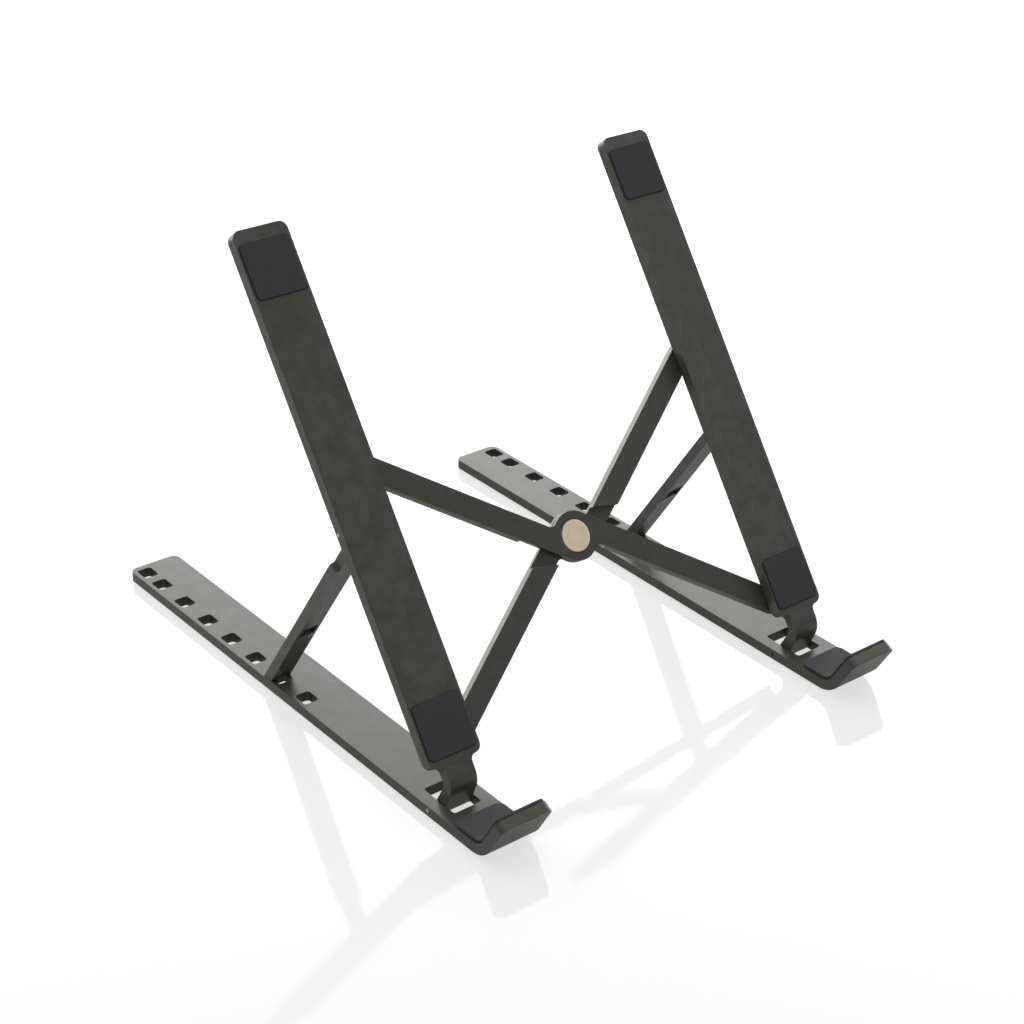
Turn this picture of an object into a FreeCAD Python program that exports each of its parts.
import FreeCAD, Part
import math
import os
import re
import Sketcher

# Folding laptop stand: two rails with a turned-up hook at the front, two uprights hinged in a window
# of each rail, a strut behind each upright that stands in one of the rail's tilt slots, and a
# half-lapped X-brace that spaces the uprights and folds them side by side.
# World frame: +X to the right, +Y from the hooks to the back, +Z up, on the feet.  Lengths in mm.

Vector = FreeCAD.Vector
X_AXIS = Vector(1, 0, 0)
ROUNDING = 1e-6
NEAR = 0.1
ALIGNED = 0.99
HALF_TURN = 1.9999

DRIVING_SIZES = (
    ("rail_spacing", 172.0, "between the centre lines of the two rails, as it stands"),
    ("rail_width", 22.5, "across one rail"),
    ("rail_thickness", 4.25, "plate of the rail and of its hook"),
    ("rail_back", 207.5, "hinge pin to the back end of the rail"),
    ("rail_corner", 3.3, "corner radius at the back end"),
    ("hook_start", 25.6, "hinge pin to the start of the hook's bend"),
    ("hook_radius", 7.1, "inner radius of the bend"),
    ("hook_angle", 60.0, "lip to the rail, degrees"),
    ("hook_lip", 14.1, "straight length of the lip"),
    ("hook_corner", 2.4, "corner radius at the lip's tip"),
    ("closed_gap", 0.4, "between the uprights when the brace is folded"),
    ("pin_height", 2.15, "hinge pin above the rail's underside"),
    ("pin_diameter", 1.5, "hinge pin and strut pin"),
    ("pin_recess", 0.8, "blind end left open beyond a pin"),
    ("running_clearance", 0.05, "radial, round a turning shaft"),
    ("seat_clearance", 0.02, "between pieces fixed to each other"),
    ("window_front", 9.1, "hinge pin to the front edge of the window"),
    ("window_back", 8.9, "hinge pin to the back edge of the window"),
    ("window_corner", 1.0, "corner radius of the window"),
    ("tongue_width", 11.7, "upright's tongue, inside the window"),
    ("tongue_side_gap", 0.2, "each side of the tongue in the window"),
    ("tongue_radius", 8.3, "outer radius of the tongue's bend"),
    ("tongue_bend", 8.8, "hinge pin to the centre of the tongue's bend, along the upright"),
    ("tongue_sweep", 56.0, "turn of the tongue's bend, degrees"),
    ("knuckle_radius", 2.1, "round end of the tongue about the pin"),
    ("toe_reach", 1.5, "forward reach of the tongue's toe"),
    ("toe_slope", 34.0, "where the toe's front meets the knuckle, degrees"),
    ("heel_turn", 85.0, "where the tongue's back meets the knuckle, degrees before the rail"),
    ("tongue_fillet", 2.3, "hollow corner beside the tongue's root"),
    ("slot_width", 6.2, "tilt slot, across the rail"),
    ("slot_length", 7.2, "tilt slot, along the rail"),
    ("slot_corner", 1.2, "corner radius of a tilt slot"),
    ("slot_offset", 6.3, "tilt slots outward of the rail's centre line"),
    ("slot_first", 83.0, "hinge pin to the nearest tilt slot"),
    ("slot_pitch", 17.68, "between tilt slots"),
    ("slot_count", 7.0, "evenly spaced tilt slots"),
    ("slot_park", 11.8, "last tilt slot to the parking slot"),
    ("slot_used", 1.0, "slots between the nearest one and the one the strut stands in"),
    ("tilt", 54.2, "upright to the rail, degrees"),
    ("upright_width", 22.8, "across one upright"),
    ("upright_front", 12.8, "hinge pin to the upright's front face"),
    ("upright_depth", 4.55, "thickness of the upright"),
    ("upright_start", 13.4, "hinge pin to the lower end of the upright"),
    ("upright_end", 214.8, "hinge pin to the top end of the upright"),
    ("upright_corner", 3.2, "corner radius of the upright"),
    ("upright_skin", 1.2, "front wall over the strut pocket"),
    ("pad_width", 20.9, "rest pads on the uprights and the hooks"),
    ("pad_length", 20.6, "rest pads on the uprights, along the upright"),
    ("pad_corner", 1.8, "corner radius of a pad"),
    ("pad_recess", 0.5, "depth of a pad's pocket"),
    ("pad_proud", 0.6, "pad above the upright's face"),
    ("pad_gap", 0.25, "round a pad in its pocket"),
    ("top_pad_end", 209.4, "hinge pin to the upper edge of the top pad"),
    ("bottom_pad_start", 16.2, "hinge pin to the lower edge of the bottom pad"),
    ("hook_pad_back", 14.4, "hinge pin to the back edge of the hook's pad"),
    ("hook_pad_thickness", 1.2, "rubber lining of the hook"),
    ("foot_height", 0.8, "foot below the rail's underside"),
    ("foot_width", 16.0, "across the rail"),
    ("front_foot_length", 9.0, "along the rail"),
    ("front_foot_place", 16.5, "hinge pin to the middle of the front foot"),
    ("rear_foot_length", 6.6, "along the rail, between two tilt slots"),
    ("strut_pivot_s", 102.3, "hinge pin to the strut pin, along the upright"),
    ("strut_pivot_n", 9.5, "hinge pin to the strut pin, square to the upright"),
    ("strut_crank", 4.8, "strut pin to the middle of the strut's bar"),
    ("strut_width", 9.0, "across the strut"),
    ("strut_thickness", 4.1, "bar of the strut"),
    ("strut_heel", 1.1, "middle of the bar short of the slot's back wall"),
    ("neck_width", 6.0, "strut inside the upright's pocket"),
    ("neck_length", 15.5, "strut pin to the neck's shoulders"),
    ("neck_gap", 0.3, "round the neck in its pocket"),
    ("pocket_room", 2.05, "pocket beyond the strut's bar, along the upright"),
    ("ear_radius", 1.9, "round end of the strut about its pin"),
    ("ear_start", 1.52, "strut pin to the end of the neck's front face"),
    ("tooth_side_gap", 0.8, "each side of the tooth in a slot"),
    ("tooth_depth", 1.3, "tooth below the rail's top"),
    ("tooth_taper", 0.325, "lean of the tooth's front face"),
    ("catch_place", 63.8, "strut pin to the lip of the finger catch"),
    ("catch_lip", 0.5, "lip above the strut's face"),
    ("catch_depth", 1.1, "scoop below the strut's face"),
    ("catch_length", 6.0, "scoop along the strut, and the lip's fade"),
    ("catch_width", 6.4, "scoop across the strut"),
    ("hub_place", 72.4, "hinge pins to the hub, along the uprights"),
    ("arm_angle", 36.7, "arm's edge to the level, as it stands, degrees"),
    ("arm_width", 8.95, "across one arm"),
    ("arm_thickness", 4.1, "one arm outside the lap"),
    ("arm_layer", 7.4, "hinge pin to the front face of the arms"),
    ("arm_inset", 6.05, "arm's end pivot inward of the upright's centre line"),
    ("arm_nose", 0.9, "centre of the arm's round end short of its pivot"),
    ("hub_radius", 9.7, "ring of an arm about the hub"),
    ("hub_fillet", 3.0, "between the ring and the arm"),
    ("lap_gap", 0.3, "between the lapped arms, filled by the washer"),
    ("lap_clearance", 0.3, "other arm's edge to the lap's step when fully open"),
    ("lap_angle", 48.0, "between the arms when fully open, degrees"),
    ("hub_cap_diameter", 12.5, "turned cap and rear cap of the hub rivet"),
    ("hub_cap_height", 1.0, "cap sunk in the arm"),
    ("hub_cap_gap", 0.15, "radial, round a cap in its pocket"),
    ("hub_shaft_diameter", 6.0, "hub rivet's shank"),
    ("hub_bore_diameter", 2.4, "rear cap's spigot in the hub rivet"),
    ("pivot_diameter", 3.0, "lower rivet's shank"),
    ("pivot_depth", 3.0, "lower rivet in the upright"),
    ("stud_diameter", 2.6, "slide stud's shank"),
    ("end_head_diameter", 5.4, "sunk heads at the arms' ends"),
    ("end_head_height", 0.9, "sunk heads at the arms' ends"),
    ("end_washer_diameter", 6.4, "spacer between an arm and an upright"),
    ("slide_gap", 0.1, "round the stud and its head in the track"),
    ("track_lip", 1.0, "wall that holds the stud's head"),
    ("stud_head_diameter", 4.6, "head inside the track"),
    ("stud_head_height", 1.0, "head inside the track"),
)


class Size:
    """A length or angle with the expression that binds it to the sheets."""

    def __init__(self, value, text):
        self.value = value
        self.text = text

    def _join(self, other, sign, value):
        right = other.text if isinstance(other, Size) else repr(float(other))
        return Size(value, f"({self.text} {sign} {right})")

    def __add__(self, other):
        return self._join(other, "+", self.value + number(other))

    def __sub__(self, other):
        return self._join(other, "-", self.value - number(other))

    def __mul__(self, other):
        return self._join(other, "*", self.value * number(other))

    def __truediv__(self, other):
        return self._join(other, "/", self.value / number(other))

    def __neg__(self):
        return Size(-self.value, f"(-1 * {self.text})")

    def __rsub__(self, other):
        return Size(float(other), repr(float(other))) - self


ZERO = Size(0.0, "0")


def number(size):
    return size.value if isinstance(size, Size) else float(size)


def as_text(size):
    return size.text if isinstance(size, Size) else repr(float(size))


def sine(angle):
    return Size(math.sin(math.radians(angle.value)), f"sin({angle.text})")


def cosine(angle):
    return Size(math.cos(math.radians(angle.value)), f"cos({angle.text})")


def root(size):
    return Size(math.sqrt(size.value), f"sqrt({size.text})")


def arc_sine(size):
    return Size(math.degrees(math.asin(size.value)), f"(asin({size.text}) / 1 deg)")


def arc_cosine(size):
    return Size(math.degrees(math.acos(size.value)), f"(acos({size.text}) / 1 deg)")


def arc_tangent(up, along):
    value = math.degrees(math.atan2(up.value, along.value))
    return Size(value, f"(atan2({up.text}; {along.text}) / 1 deg)")


doc = FreeCAD.newDocument("laptop_stand")


class Sheet:
    """A spreadsheet whose aliases are read back as Size attributes."""

    def __init__(self, name):
        self.name = name
        self.sheet = doc.addObject("Spreadsheet::Sheet", name)
        self.row = 0

    def add(self, alias, value, content, note):
        self.row += 1
        self.sheet.set(f"A{self.row}", alias)
        self.sheet.set(f"B{self.row}", content)
        self.sheet.setAlias(f"B{self.row}", alias)
        self.sheet.set(f"C{self.row}", note)
        size = Size(value, f"{self.name}.{alias}")
        setattr(self, alias, size)
        return size


d = Sheet("Sizes")
for alias, value, note in DRIVING_SIZES:
    d.add(alias, value, str(value), note)

w = Sheet("Worked")


def work(alias, size, note):
    """Keep a worked-out size in its own named cell, as a formula of the driving sizes."""
    return w.add(alias, size.value, "=" + size.text, note)


def rotate(angle, along, square):
    """A point given along and square to a direction, as level and upward parts."""
    level = along * cosine(angle) - square * sine(angle)
    upward = along * sine(angle) + square * cosine(angle)
    return level, upward


# The whole stand is centred between the hook's tip and the rail's back end.
work("hook_outer", d.hook_radius + d.rail_thickness, "outer radius of the hook's bend")
work("hook_reach", d.hook_start + w.hook_outer * sine(d.hook_angle) + d.hook_lip * cosine(d.hook_angle),
     "hinge pin to the hook's tip")
work("hinge_y", (w.hook_reach - d.rail_back) / 2, "hinge pin from the origin, along Y")
work("hinge_z", d.foot_height + d.pin_height, "hinge pin above the table")
work("window_width", d.tongue_width + d.tongue_side_gap * 2, "window across the rail")
work("upright_rear", d.upright_front - d.upright_depth, "hinge pin to the upright's back face")

# The X-brace: each arm's pivots lie on the middle line of its two offset halves.
work("pivot_x", d.rail_spacing / 2 - d.arm_inset, "arm's end pivots from the middle of the stand")
work("arm_offset", d.hub_radius - d.arm_width / 2, "middle of an arm's half beside the hub's centre")
work("arm_reach", (w.pivot_x - w.arm_offset * sine(d.arm_angle)) / cosine(d.arm_angle),
     "hub to the end pivot, along the arm")
work("pivot_low", d.hub_place - w.arm_reach * sine(d.arm_angle) + w.arm_offset * cosine(d.arm_angle),
     "hinge pins to the lower pivots, along the uprights")
work("arm_length", root(w.arm_reach * w.arm_reach + w.arm_offset * w.arm_offset), "hub to pivot")
work("skew", arc_tangent(w.arm_offset, w.arm_reach), "pivot line to the arm's edge")
work("closed_x", (d.upright_width + d.closed_gap) / 2 - d.arm_inset, "pivot_x when folded together")
work("closed_angle", arc_cosine(w.closed_x / w.arm_length), "pivot line to the level when folded")
work("open_angle", d.lap_angle / 2 - w.skew, "pivot line to the level when fully open")
work("stand_angle", d.arm_angle - w.skew, "pivot line to the level as it stands")
work("stud_now", w.pivot_low + w.arm_length * sine(w.stand_angle) * 2, "stud's place as it stands")
work("stud_open", w.pivot_low + w.arm_length * sine(w.open_angle) * 2, "stud's place when fully open")
work("stud_closed", w.pivot_low + w.arm_length * sine(w.closed_angle) * 2, "stud's place when folded")

# The strut stands in one slot: its heel's place gives its slope.
work("slot_y", d.slot_first + d.slot_pitch * d.slot_used, "hinge pin to the slot in use")
work("last_slot", d.slot_first + d.slot_pitch * (d.slot_count - 1), "hinge pin to the last even slot")
pivot_level, pivot_upward = rotate(d.tilt, d.strut_pivot_s, d.strut_pivot_n)
work("strut_pivot_y", pivot_level, "hinge pin to the strut pin, along the rail")
work("strut_drop", pivot_upward + d.pin_height - d.rail_thickness, "strut pin above the rail's top")
work("heel_run", w.slot_y + d.slot_length / 2 - d.strut_heel - w.strut_pivot_y,
     "strut pin to the middle of the heel, along the rail")
work("heel_span", root(w.heel_run * w.heel_run + w.strut_drop * w.strut_drop), "strut pin to the heel")
work("strut_angle", 180 - (arc_tangent(w.strut_drop, w.heel_run) - arc_sine(d.strut_crank / w.heel_span)),
     "strut's bar to the rail, degrees")
work("bar_back", d.strut_crank - d.strut_thickness / 2, "strut pin to the bar's back face")
work("bar_front", d.strut_crank + d.strut_thickness / 2, "strut pin to the bar's front face")
work("tooth_radius", root((w.heel_run + d.strut_heel - d.slide_gap) * (w.heel_run + d.strut_heel
     - d.slide_gap) + w.strut_drop * w.strut_drop), "strut pin to the tooth's back face")
doc.recompute()


def origin_plane(body, role):
    return next(plane for plane in body.Origin.OriginFeatures if plane.Role == role)


class Piece:
    """A PartDesign body that is drawn with bound sketches."""

    def __init__(self, label):
        self.body = doc.addObject("PartDesign::Body", label)
        self.body.Label = label
        self.label = label
        self.count = 0

    def _name(self, word):
        self.count += 1
        return f"{self.label}_{word}_{self.count}"

    def sketch(self, role, height=0.0):
        sketch = self.body.newObject("Sketcher::SketchObject", self._name("sketch"))
        sketch.AttachmentSupport = [(origin_plane(self.body, role), "")]
        sketch.MapMode = "FlatFace"
        sketch.AttachmentOffset = FreeCAD.Placement(Vector(0, 0, number(height)), FreeCAD.Rotation())
        if isinstance(height, Size):
            sketch.setExpression("AttachmentOffset.Base.z", height.text)
        return sketch

    def _feature(self, kind, sketch, length, reverse, both_ways):
        feature = self.body.newObject(f"PartDesign::{kind}", self._name(kind.lower()))
        feature.Profile = sketch
        feature.Midplane = both_ways
        feature.Reversed = reverse
        feature.Length = number(length)
        feature.setExpression("Length", as_text(length))
        doc.recompute()
        sketch.Visibility = False
        return feature

    def pad(self, sketch, length, reverse=False, both_ways=False):
        return self._feature("Pad", sketch, length, reverse, both_ways)

    def pocket(self, sketch, length, reverse=False, both_ways=False):
        before = self.body.Shape.Volume
        feature = self._feature("Pocket", sketch, length, reverse, both_ways)
        if not feature.Shape.Volume < before - ROUNDING:
            raise RuntimeError(f"{feature.Name} cuts nothing")
        return feature

    def repeat(self, feature, role, axis, span, count):
        pattern = self.body.newObject("PartDesign::LinearPattern", self._name("row"))
        pattern.Originals = [feature]
        line = next(item for item in self.body.Origin.OriginFeatures if item.Role == axis)
        pattern.Direction = (line, [""])
        pattern.Length = number(span)
        pattern.setExpression("Length", as_text(span))
        pattern.Occurrences = int(number(count))
        pattern.setExpression("Occurrences", as_text(count))
        self.body.Tip = pattern
        doc.recompute()
        return pattern

    def round_edges(self, radius, wanted):
        """Fillet the straight edges that wanted(middle, direction) picks."""
        shape = self.body.Shape
        names = [f"Edge{index + 1}" for index, edge in enumerate(shape.Edges)
                 if edge.Curve.TypeId == "Part::GeomLine"
                 and wanted(edge.CenterOfMass, edge.Curve.Direction)]
        if not names:
            raise RuntimeError(f"{self.label} has no edge to round")
        solid = self.body.Tip
        fillet = self.body.newObject("PartDesign::Fillet", self._name("fillet"))
        fillet.Base = (solid, names)
        fillet.Radius = number(radius)
        fillet.setExpression("Radius", as_text(radius))
        self.body.Tip = fillet
        doc.recompute()
        return fillet

    def place(self, x, y, z, turn=None):
        """Put the body's origin at x, y, z, turned about X by an angle."""
        base = Vector(number(x), number(y), number(z))
        angle = 0.0 if turn is None else number(turn)
        self.body.Placement = FreeCAD.Placement(base, FreeCAD.Rotation(X_AXIS, angle))
        for path, size in (("x", x), ("y", y), ("z", z)):
            self.body.setExpression(f"Placement.Base.{path}", as_text(size))
        if turn is not None:
            self.body.setExpression("Placement.Rotation.Angle", as_text(turn))
        return self


def pin(sketch, kind, index, position, size):
    """Fix one coordinate of a sketch point."""
    rule = sketch.addConstraint(Sketcher.Constraint(kind, -1, 1, index, position, number(size)))
    if isinstance(size, Size):
        sketch.setExpression(f"Constraints[{rule}]", size.text)


def fix_size(sketch, kind, index, size):
    """Fix the radius or diameter of a sketch curve."""
    rule = sketch.addConstraint(Sketcher.Constraint(kind, index, number(size)))
    if isinstance(size, Size):
        sketch.setExpression(f"Constraints[{rule}]", size.text)


def circle(sketch, x, y, diameter):
    index = sketch.addGeometry(Part.Circle(Vector(number(x), number(y), 0), Vector(0, 0, 1),
                                           number(diameter) / 2), False)
    pin(sketch, "DistanceX", index, 3, x)
    pin(sketch, "DistanceY", index, 3, y)
    fix_size(sketch, "Diameter", index, diameter)


def outline(sketch, points):
    """Draw a closed outline.  A point is (x, y), or (x, y, radius) when an arc leads on from it.

    A positive radius turns left on the way to the next point, a negative one turns right.
    """
    edges = []
    for this, following in zip(points, points[1:] + points[:1]):
        start = Vector(number(this[0]), number(this[1]), 0)
        end = Vector(number(following[0]), number(following[1]), 0)
        if len(this) == 2:
            edges.append((sketch.addGeometry(Part.LineSegment(start, end), False), 1, 2))
            continue
        radius = number(this[2])
        chord = end - start
        left = Vector(-chord.y, chord.x, 0).normalize()
        rise = math.sqrt(max(radius * radius - chord.Length ** 2 / 4, 0))
        centre = (start + end) / 2 + left * math.copysign(rise, radius)
        first, last = (start, end) if radius > 0 else (end, start)
        angles = [math.atan2(point.y - centre.y, point.x - centre.x) for point in (first, last)]
        ring = Part.Circle(centre, Vector(0, 0, 1), abs(radius))
        index = sketch.addGeometry(Part.ArcOfCircle(ring, *angles), False)
        edges.append((index, 1, 2) if radius > 0 else (index, 2, 1))
    for (index, _, end), (following, start, _) in zip(edges, edges[1:] + edges[:1]):
        sketch.addConstraint(Sketcher.Constraint("Coincident", index, end, following, start))
    for (index, start, _), point, following in zip(edges, points, points[1:] + points[:1]):
        pin(sketch, "DistanceX", index, start, point[0])
        pin(sketch, "DistanceY", index, start, point[1])
        if len(point) == 2:
            continue
        across = number(following[0]) - number(point[0])
        along = number(following[1]) - number(point[1])
        if math.hypot(across, along) < abs(number(point[2])) * HALF_TURN:
            fix_size(sketch, "Radius", index, point[2] if number(point[2]) > 0 else -point[2])
        elif abs(along) < abs(across):
            pin(sketch, "DistanceY", index, 3, point[1])
        else:
            pin(sketch, "DistanceX", index, 3, point[0])


def rounded_box(sketch, x, y, width, height, corner):
    """A rectangle about x, y with rounded corners."""
    right, left = x + width / 2, x - width / 2
    top, bottom = y + height / 2, y - height / 2
    outline(sketch, [
        (left + corner, bottom), (right - corner, bottom, corner),
        (right, bottom + corner), (right, top - corner, corner),
        (right - corner, top), (left + corner, top, corner),
        (left, top - corner), (left, bottom + corner, corner)])


def long_hole(sketch, x, start, end, width):
    """A slot with round ends along the second axis."""
    outline(sketch, [(x - width / 2, start, width / 2), (x + width / 2, start),
                     (x + width / 2, end, width / 2), (x - width / 2, end)])


def shaft(label, steps):
    """A turned piece along Z: steps are (start, end, diameter), stacked without gaps."""
    piece = Piece(label)
    for start, end, diameter in steps:
        sketch = piece.sketch("XY_Plane", start)
        circle(sketch, 0.0, 0.0, diameter)
        piece.pad(sketch, end - start)
    return piece


def bore(piece, role, height, x, y, diameter, depth, reverse=False, both_ways=False):
    sketch = piece.sketch(role, height)
    circle(sketch, x, y, diameter)
    return piece.pocket(sketch, depth, reverse, both_ways)


# ---- left rail: local origin on the hinge pin's axis, at the rail's underside ----

def make_rail():
    rail = Piece("left_rail")
    sketch = rail.sketch("YZ_Plane")
    radius_in, radius_out = d.hook_radius, w.hook_outer
    centre_z = d.rail_thickness + radius_in
    slope_y, slope_z = cosine(d.hook_angle), sine(d.hook_angle)
    inner = (-d.hook_start - radius_in * slope_z, centre_z - radius_in * slope_y)
    outer = (-d.hook_start - radius_out * slope_z, centre_z - radius_out * slope_y)
    lip_y, lip_z = d.hook_lip * slope_y, d.hook_lip * slope_z
    outline(sketch, [
        (-d.hook_start, ZERO), (d.rail_back, ZERO),
        (d.rail_back, d.rail_thickness), (-d.hook_start, d.rail_thickness, -radius_in),
        inner, (inner[0] - lip_y, inner[1] + lip_z),
        (outer[0] - lip_y, outer[1] + lip_z), (outer[0], outer[1], radius_out)])
    rail.pad(sketch, d.rail_width, both_ways=True)
    rail.round_edges(d.rail_corner, lambda middle, way: abs(way.z) > ALIGNED
                     and middle.y > number(d.rail_back) - NEAR)
    rail.round_edges(d.hook_corner, lambda middle, way: abs(way.x) < 1 - ALIGNED
                     and middle.z > number(outer[1] + lip_z) - NEAR)

    window = rail.sketch("XY_Plane")
    rounded_box(window, ZERO, (d.window_back - d.window_front) / 2, w.window_width,
                d.window_back + d.window_front, d.window_corner)
    rail.pocket(window, d.rail_thickness, reverse=True)

    slot = rail.sketch("XY_Plane")
    rounded_box(slot, -d.slot_offset, d.slot_first, d.slot_width, d.slot_length, d.slot_corner)
    first = rail.pocket(slot, d.rail_thickness, reverse=True)
    rail.repeat(first, "XY_Plane", "Y_Axis", d.slot_pitch * (d.slot_count - 1), d.slot_count)
    parking = rail.sketch("XY_Plane")
    rounded_box(parking, -d.slot_offset, w.last_slot + d.slot_park, d.slot_width, d.slot_length,
                d.slot_corner)
    rail.pocket(parking, d.rail_thickness, reverse=True)

    for place, length in (front_foot, rear_foot):
        recess = rail.sketch("XY_Plane")
        rounded_box(recess, ZERO, place, d.foot_width + d.pad_gap * 2,
                    length + d.pad_gap * 2, d.pad_corner)
        rail.pocket(recess, d.pad_recess, reverse=True)
    bore(rail, "YZ_Plane", 0.0, 0.0, d.pin_height, d.pin_diameter + d.seat_clearance * 2,
         d.rail_width, both_ways=True)
    return rail.place(-d.rail_spacing / 2, w.hinge_y, d.foot_height)


front_foot = (-d.front_foot_place, d.front_foot_length)
rear_foot = (w.last_slot - d.slot_pitch / 2, d.rear_foot_length)


def make_foot(label, place, length):
    foot = Piece(label)
    sketch = foot.sketch("XY_Plane")
    rounded_box(sketch, ZERO, place, d.foot_width, length, d.pad_corner)
    foot.pad(sketch, d.foot_height + d.pad_recess - d.seat_clearance)
    return foot.place(-d.rail_spacing / 2, w.hinge_y, 0.0)


def make_hook_pad():
    """Lining of the hook: flat on the rail, round the bend and up the lip."""
    pad = Piece("left_hook_pad")
    sketch = pad.sketch("YZ_Plane")
    under = d.rail_thickness + d.seat_clearance * 2
    centre_z = d.rail_thickness + d.hook_radius
    slope_y, slope_z = cosine(d.hook_angle), sine(d.hook_angle)
    radius_out = d.hook_radius - d.seat_clearance * 2
    radius_in = radius_out - d.hook_pad_thickness
    outer = (-d.hook_start - radius_out * slope_z, centre_z - radius_out * slope_y)
    inner = (-d.hook_start - radius_in * slope_z, centre_z - radius_in * slope_y)
    lip_y, lip_z = d.hook_lip * slope_y, d.hook_lip * slope_z
    outline(sketch, [
        (-d.hook_pad_back, under), (-d.hook_pad_back, under + d.hook_pad_thickness),
        (-d.hook_start, under + d.hook_pad_thickness, -radius_in),
        inner, (inner[0] - lip_y, inner[1] + lip_z), (outer[0] - lip_y, outer[1] + lip_z),
        (outer[0], outer[1], radius_out), (-d.hook_start, under)])
    pad.pad(sketch, d.pad_width, both_ways=True)
    pad.round_edges(d.pad_corner, lambda middle, way: abs(way.z) > ALIGNED
                    and middle.y > -number(d.hook_pad_back) - NEAR)
    return pad.place(-d.rail_spacing / 2, w.hinge_y, d.foot_height)


def make_hinge_pin():
    pin = Piece("left_hinge_pin")
    sketch = pin.sketch("YZ_Plane", -d.rail_width / 2)
    circle(sketch, 0.0, 0.0, d.pin_diameter)
    pin.pad(sketch, d.rail_width - d.pin_recess)
    return pin.place(-d.rail_spacing / 2, w.hinge_y, w.hinge_z)


# ---- left upright: local origin on the hinge pin, Y along the upright, Z square to it ----

def make_upright():
    upright = Piece("left_upright")
    plate = upright.sketch("XY_Plane", w.upright_rear)
    rounded_box(plate, ZERO, (d.upright_start + d.upright_end) / 2, d.upright_width,
                d.upright_end - d.upright_start, d.upright_corner)
    upright.pad(plate, d.upright_depth)

    # Tongue: bends forward out of the plate's lower end and down to the knuckle on the pin.
    tongue = upright.sketch("YZ_Plane")
    root_s = d.upright_start + d.upright_corner
    bend_n = d.upright_front - d.tongue_radius
    sweep = d.tongue_sweep + 90
    front_end = (d.tongue_bend + d.tongue_radius * cosine(sweep), bend_n + d.tongue_radius * sine(sweep))
    inner_radius = d.tongue_radius - d.upright_depth
    toe = (-d.toe_reach * cosine(d.tilt), d.toe_reach * sine(d.tilt))
    toe_side, toe_rise = d.knuckle_radius * cosine(d.toe_slope), d.knuckle_radius * sine(d.toe_slope)
    under = (-d.knuckle_radius * sine(d.tilt), -d.knuckle_radius * cosine(d.tilt))
    heel = d.tilt - d.heel_turn
    outline(tongue, [
        (root_s, d.upright_front), (d.tongue_bend, d.upright_front, d.tongue_radius),
        front_end, (toe[0] - toe_side, toe[1] + toe_rise, d.knuckle_radius),
        (toe[0] + under[0], toe[1] + under[1]), (under[0], under[1], d.knuckle_radius),
        (d.knuckle_radius * cosine(heel), d.knuckle_radius * sine(heel)),
        (d.tongue_bend - inner_radius, bend_n, -inner_radius), (d.tongue_bend, w.upright_rear),
        (root_s, w.upright_rear)])
    upright.pad(tongue, d.tongue_width, both_ways=True)
    side, start = number(d.tongue_width) / 2, number(d.upright_start)
    upright.round_edges(d.tongue_fillet, lambda middle, way: abs(way.z) > ALIGNED
                        and math.hypot(abs(middle.x) - side, middle.y - start) < NEAR)
    bore(upright, "YZ_Plane", 0.0, 0.0, 0.0, d.pin_diameter + d.running_clearance * 2,
         d.upright_width, both_ways=True)

    # Undercut track for the slide stud, and the blind hole of the lower rivet.
    track_start, track_end = w.stud_open - d.slide_gap, w.stud_closed + d.slide_gap
    neck = upright.sketch("XY_Plane", w.upright_rear)
    long_hole(neck, d.arm_inset, track_start, track_end, d.stud_diameter + d.slide_gap * 2)
    upright.pocket(neck, d.track_lip, reverse=True)
    undercut = upright.sketch("XY_Plane", w.upright_rear + d.track_lip)
    long_hole(undercut, d.arm_inset, track_start, track_end, d.stud_head_diameter + d.slide_gap * 2)
    upright.pocket(undercut, d.stud_head_height + d.slide_gap * 2, reverse=True)
    bore(upright, "XY_Plane", w.upright_rear, d.arm_inset, w.pivot_low,
         d.pivot_diameter + d.seat_clearance * 2, d.pivot_depth, reverse=True)

    # Pocket of the strut's neck, and the strut pin's hole through its outer wall.
    pocket = upright.sketch("XY_Plane", w.upright_rear)
    lean = d.tilt - w.strut_angle + 180
    low = d.strut_pivot_s - w.bar_front / sine(lean) - d.pocket_room
    high = d.strut_pivot_s + d.ear_radius + d.neck_gap
    rounded_box(pocket, -d.slot_offset, (low + high) / 2, d.neck_width + d.neck_gap * 2, high - low,
                d.neck_gap)
    upright.pocket(pocket, d.upright_depth - d.upright_skin, reverse=True)
    bore(upright, "YZ_Plane", -d.upright_width / 2, d.strut_pivot_s, d.strut_pivot_n,
         d.pin_diameter + d.seat_clearance * 2, d.upright_width / 2 - d.pin_recess, reverse=True)

    for middle in (top_pad, bottom_pad):
        recess = upright.sketch("XY_Plane", d.upright_front)
        rounded_box(recess, ZERO, middle, d.pad_width + d.pad_gap * 2,
                    d.pad_length + d.pad_gap * 2, d.pad_corner + d.pad_gap)
        upright.pocket(recess, d.pad_recess)
    return upright.place(-d.rail_spacing / 2, w.hinge_y, w.hinge_z, d.tilt)


top_pad = d.top_pad_end - d.pad_length / 2
bottom_pad = d.bottom_pad_start + d.pad_length / 2


def make_rest_pad(label, middle):
    pad = Piece(label)
    sketch = pad.sketch("XY_Plane", d.upright_front - d.pad_recess + d.seat_clearance)
    rounded_box(sketch, ZERO, middle, d.pad_width, d.pad_length, d.pad_corner)
    pad.pad(sketch, d.pad_recess + d.pad_proud - d.seat_clearance)
    return pad.place(-d.rail_spacing / 2, w.hinge_y, w.hinge_z, d.tilt)


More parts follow.
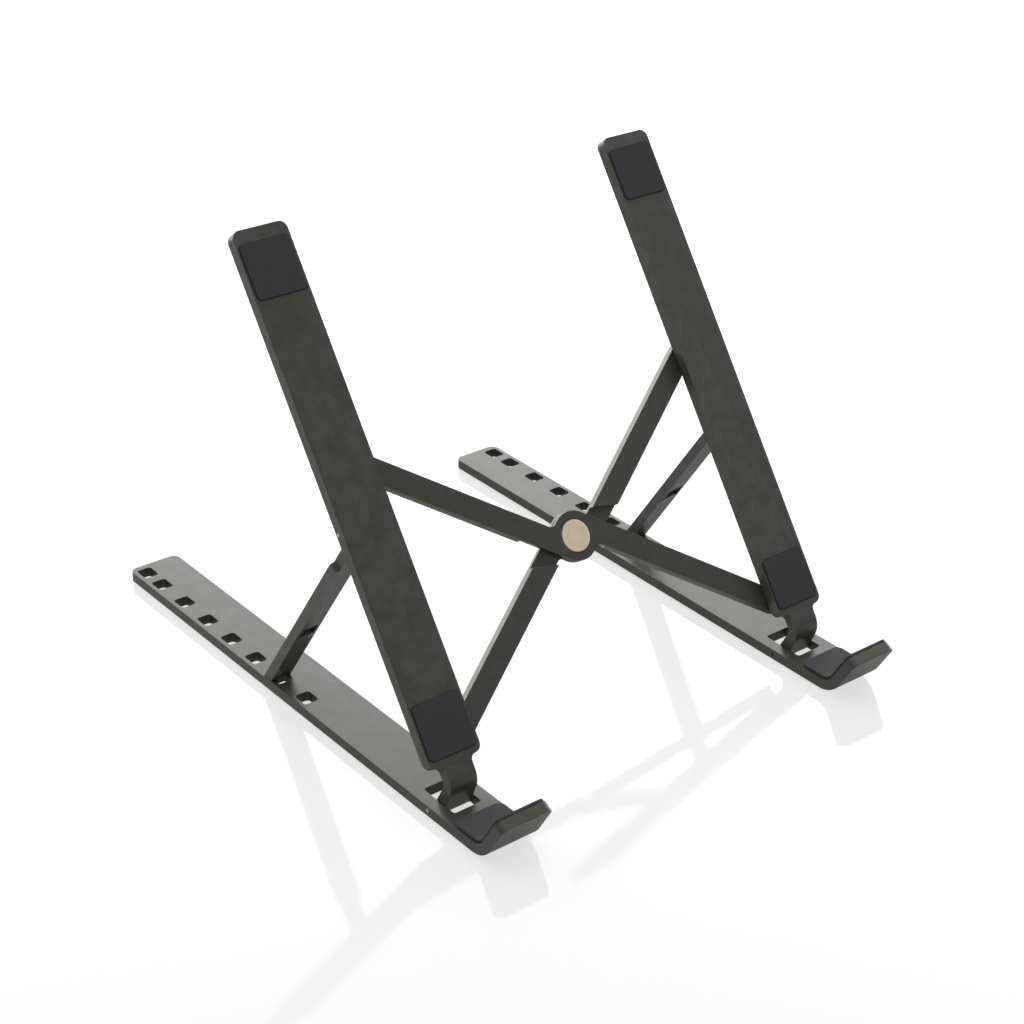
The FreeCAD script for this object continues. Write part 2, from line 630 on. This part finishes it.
def make_strut_pin():
    pin = Piece("left_strut_pin")
    sketch = pin.sketch("YZ_Plane", -d.upright_width / 2)
    circle(sketch, d.strut_pivot_s, d.strut_pivot_n, d.pin_diameter)
    pin.pad(sketch, d.upright_width / 2 - d.pin_recess - d.seat_clearance)
    return pin.place(-d.rail_spacing / 2, w.hinge_y, w.hinge_z, d.tilt)


# ---- left strut: local origin on the strut pin, Y up the bar, Z to the bar's front ----

def make_strut():
    strut = Piece("left_strut")
    level, upward = cosine(w.strut_angle), sine(w.strut_angle)

    def foot(square):
        """Where the rail's top cuts a line at this height on the bar."""
        return -(w.strut_drop + square * level) / upward

    def local(run, drop):
        """A point given from the strut pin, level and downward, in the strut's own frame."""
        return run * level - drop * upward, -(run * upward) - drop * level

    neck = strut.sketch("YZ_Plane")
    outline(neck, [
        (foot(w.bar_back), w.bar_back), (foot(w.bar_front), w.bar_front),
        (-d.ear_start, w.bar_front), (d.ear_radius, ZERO, -d.ear_radius),
        (-d.ear_radius, ZERO), (-d.ear_radius, w.bar_back)])
    strut.pad(neck, d.neck_width, both_ways=True)
    bar = strut.sketch("YZ_Plane")
    outline(bar, [
        (foot(w.bar_back), w.bar_back), (foot(w.bar_front), w.bar_front),
        (-d.neck_length, w.bar_front), (-d.neck_length, w.bar_back)])
    strut.pad(bar, d.strut_width, both_ways=True)

    # Tooth: its back is round about the strut pin, so it swings in and out of a slot.
    tooth = strut.sketch("YZ_Plane")
    below = w.strut_drop + d.tooth_depth
    run_low = root(w.tooth_radius * w.tooth_radius - below * below)
    run_high = w.heel_run + d.strut_heel - d.slide_gap
    run_front = w.heel_run - d.strut_thickness
    outline(tooth, [
        local(run_high, w.strut_drop) + (-w.tooth_radius,), local(run_low, below),
        local(run_front + d.tooth_taper, below), local(run_front, w.strut_drop),
        local(w.heel_run - d.strut_heel, w.strut_drop - d.tooth_depth)])
    strut.pad(tooth, d.slot_width - d.tooth_side_gap * 2, both_ways=True)

    # Finger catch: a scoop across the front face, and a low lip below it.
    lip = strut.sketch("YZ_Plane")
    outline(lip, [
        (-d.catch_place - d.catch_length, w.bar_front - d.catch_lip),
        (-d.catch_place, w.bar_front - d.catch_lip), (-d.catch_place, w.bar_front + d.catch_lip),
        (-d.catch_place - d.catch_length, w.bar_front)])
    strut.pad(lip, d.strut_width, both_ways=True)
    scoop = strut.sketch("YZ_Plane")
    outline(scoop, [
        (-d.catch_place, w.bar_front + d.catch_lip), (-d.catch_place, w.bar_front - d.catch_depth),
        (-d.catch_place + d.catch_length, w.bar_front),
        (-d.catch_place + d.catch_length, w.bar_front + d.catch_lip)])
    strut.pocket(scoop, d.catch_width, both_ways=True)
    bore(strut, "YZ_Plane", 0.0, 0.0, 0.0, d.pin_diameter + d.running_clearance * 2,
         d.strut_width, both_ways=True)
    y, z = rotate(d.tilt, d.strut_pivot_s, d.strut_pivot_n)
    return strut.place(-d.rail_spacing / 2 - d.slot_offset, w.hinge_y + y, w.hinge_z + z, w.strut_angle)


# ---- X-brace: an arm's local origin is the hub, X towards its lower end, Z away from its lap ----

arm_middle = d.arm_layer - d.arm_thickness / 2
thin = (d.arm_thickness - d.lap_gap) / 2


def make_arm(label, front):
    """One arm.  The rear arm is the same plate turned over; only its end heads change sides."""
    arm = Piece(label)
    half = d.arm_thickness / 2
    edge = d.hub_radius - d.arm_width
    nose = w.arm_reach - d.arm_nose
    fillet_x = root((d.hub_radius + d.hub_fillet) * (d.hub_radius + d.hub_fillet)
                    - (d.hub_fillet - edge) * (d.hub_fillet - edge))
    share = d.hub_radius / (d.hub_radius + d.hub_fillet)
    ring = (fillet_x * share, (edge - d.hub_fillet) * share)
    plate = arm.sketch("XY_Plane", -half)
    outline(plate, [
        (ZERO, d.hub_radius, d.hub_radius), (-ring[0], -ring[1], -d.hub_fillet),
        (-fillet_x, -edge), (-nose, -edge, d.arm_width / 2), (-nose, -d.hub_radius),
        (ZERO, -d.hub_radius, d.hub_radius), (ring[0], ring[1], -d.hub_fillet),
        (fillet_x, edge), (nose, edge, d.arm_width / 2), (nose, d.hub_radius)])
    arm.pad(plate, d.arm_thickness)

    # Half lap: its two steps run along the other arm's edges when the brace is fully open.
    lap = arm.sketch("XY_Plane", -half)
    reach = d.hub_radius + d.lap_clearance
    far = d.hub_radius + d.arm_width
    slope, rise = cosine(d.lap_angle), sine(d.lap_angle)
    near_x = (reach - far * slope) / rise
    far_x = (reach + far * slope) / rise
    outline(lap, [(-far_x, -far), (near_x, -far), (far_x, far), (-near_x, far)])
    arm.pocket(lap, d.arm_thickness - thin, reverse=True)

    bore(arm, "XY_Plane", half, 0.0, 0.0, d.hub_cap_diameter + d.hub_cap_gap * 2, d.hub_cap_height)
    bore(arm, "XY_Plane", half, 0.0, 0.0, d.hub_shaft_diameter + d.running_clearance * 2,
         d.arm_thickness)
    ends = ((w.arm_reach, w.arm_offset, d.pivot_diameter + d.running_clearance * 2),
            (-w.arm_reach, -w.arm_offset, d.stud_diameter + d.seat_clearance * 2))
    for x, y, diameter in ends:
        bore(arm, "XY_Plane", half, x, y, diameter, d.arm_thickness)
        bore(arm, "XY_Plane", -half if front else half, x, y,
             d.end_head_diameter + d.running_clearance * 2, d.end_head_height, reverse=front)
    # In the brace's plane its X axis runs down to the right; the rear arm is turned over.
    y, z = rotate(d.tilt, d.hub_place, arm_middle)
    base = f"vector(0; {(w.hinge_y + y).text}; {(w.hinge_z + z).text})"
    lean = f"rotation(vector(1; 0; 0); {d.tilt.text})"
    over = f"rotation(vector(0; 1; 0); {0 if front else 180})"
    drop = f"rotation(vector(0; 0; 1); -1 * {d.arm_angle.text})"
    arm.body.setExpression("Placement", f"placement({base}; {lean} * {over} * {drop})")
    doc.recompute()
    return arm


def on_brace(piece, x, s, n):
    """Stand a turned piece square to the brace, x across and s, n from the hinge pins."""
    y, z = rotate(d.tilt, s, n)
    return piece.place(x, w.hinge_y + y, w.hinge_z + z, d.tilt)


def make_hub():
    """The hub rivet with its turned cap, the washer between the laps and the rear cap."""
    half = d.arm_thickness / 2
    bottom = -half + d.hub_cap_height + d.seat_clearance
    rivet = shaft("hub_rivet", (
        (bottom, half - d.hub_cap_height + d.seat_clearance, d.hub_shaft_diameter),
        (half - d.hub_cap_height + d.seat_clearance, half, d.hub_cap_diameter)))
    bore(rivet, "XY_Plane", bottom, 0.0, 0.0, d.hub_bore_diameter + d.seat_clearance * 2,
         d.arm_thickness - d.hub_cap_height * 2, reverse=True)
    rear = shaft("hub_rear_cap", (
        (-half, -half + d.hub_cap_height - d.seat_clearance, d.hub_cap_diameter),
        (-half + d.hub_cap_height - d.seat_clearance, ZERO, d.hub_bore_diameter)))
    washer = shaft("hub_washer", (
        (-d.lap_gap / 2 + d.seat_clearance, d.lap_gap / 2 - d.seat_clearance, d.hub_cap_diameter),))
    bore(washer, "XY_Plane", d.lap_gap, 0.0, 0.0, d.hub_shaft_diameter + d.running_clearance * 2,
         d.lap_gap * 2)
    for piece in (rivet, rear, washer):
        on_brace(piece, ZERO, d.hub_place, arm_middle)


def make_end_fittings():
    """The lower rivet and slide stud of the left upright, and their spacers."""
    rear, half = arm_middle - d.arm_thickness / 2, d.arm_thickness / 2
    head_top = d.end_head_height - d.running_clearance
    shank_end = w.upright_rear + d.pivot_depth - d.seat_clearance - rear
    rivet = shaft("left_pivot_rivet", (
        (ZERO, head_top, d.end_head_diameter), (head_top, shank_end, d.pivot_diameter)))
    on_brace(rivet, -w.pivot_x, w.pivot_low, rear)
    head_seat = w.upright_rear + d.track_lip + d.slide_gap - rear
    stud = shaft("left_slide_stud", (
        (ZERO, d.end_head_height - d.seat_clearance, d.end_head_diameter),
        (d.end_head_height - d.seat_clearance, head_seat, d.stud_diameter),
        (head_seat, head_seat + d.stud_head_height, d.stud_head_diameter)))
    on_brace(stud, -w.pivot_x, w.stud_now, rear)
    room = w.upright_rear - d.arm_layer
    for label, s, hole in (("left_pivot_spacer", w.pivot_low, d.pivot_diameter),
                           ("left_slide_spacer", w.stud_now, d.stud_diameter)):
        spacer = shaft(label, ((d.running_clearance, room - d.running_clearance, d.end_washer_diameter),))
        bore(spacer, "XY_Plane", room, 0.0, 0.0, hole + d.running_clearance * 2, room * 2)
        on_brace(spacer, -w.pivot_x, s, d.arm_layer)


make_rail()
make_foot("left_front_foot", *front_foot)
make_foot("left_rear_foot", *rear_foot)
make_hook_pad()
make_hinge_pin()
make_upright()
make_rest_pad("left_top_pad", top_pad)
make_rest_pad("left_bottom_pad", bottom_pad)
make_strut_pin()
make_strut()
make_end_fittings()
make_arm("cross_arm_front", True)
make_arm("cross_arm_rear", False)
make_hub()

# The right-hand side mirrors the left-hand side across the stand's middle plane.
bodies = [item for item in doc.Objects if item.TypeId == "PartDesign::Body"]
nodes = list(bodies)
for source in bodies:
    if source.Label.startswith("left_"):
        mirrored = doc.addObject("Part::Mirroring", source.Label.replace("left_", "right_"))
        mirrored.Source = source
        mirrored.Normal = X_AXIS
        nodes.append(mirrored)
doc.recompute()

for item in doc.Objects:
    if "Invalid" in item.State or "Error" in item.State:
        raise RuntimeError(f"{item.Name} failed: {item.State}")
for sheet in (d, w):
    for alias in re.findall(r"alias=\"(\w+)\"", sheet.sheet.Content):
        if abs(getattr(sheet.sheet, alias) - getattr(sheet, alias).value) > ROUNDING:
            raise RuntimeError(f"{alias} differs from its cell")

os.makedirs("parts", exist_ok=True)
for node in nodes:
    shape = node.Shape
    if shape.isNull() or not shape.isValid() or len(shape.Solids) != 1:
        raise RuntimeError(f"{node.Label} is not one valid solid")
for node in nodes:
    node.Shape.exportStep(f"parts/{node.Label}.step")
print(len(nodes), "nodes written")
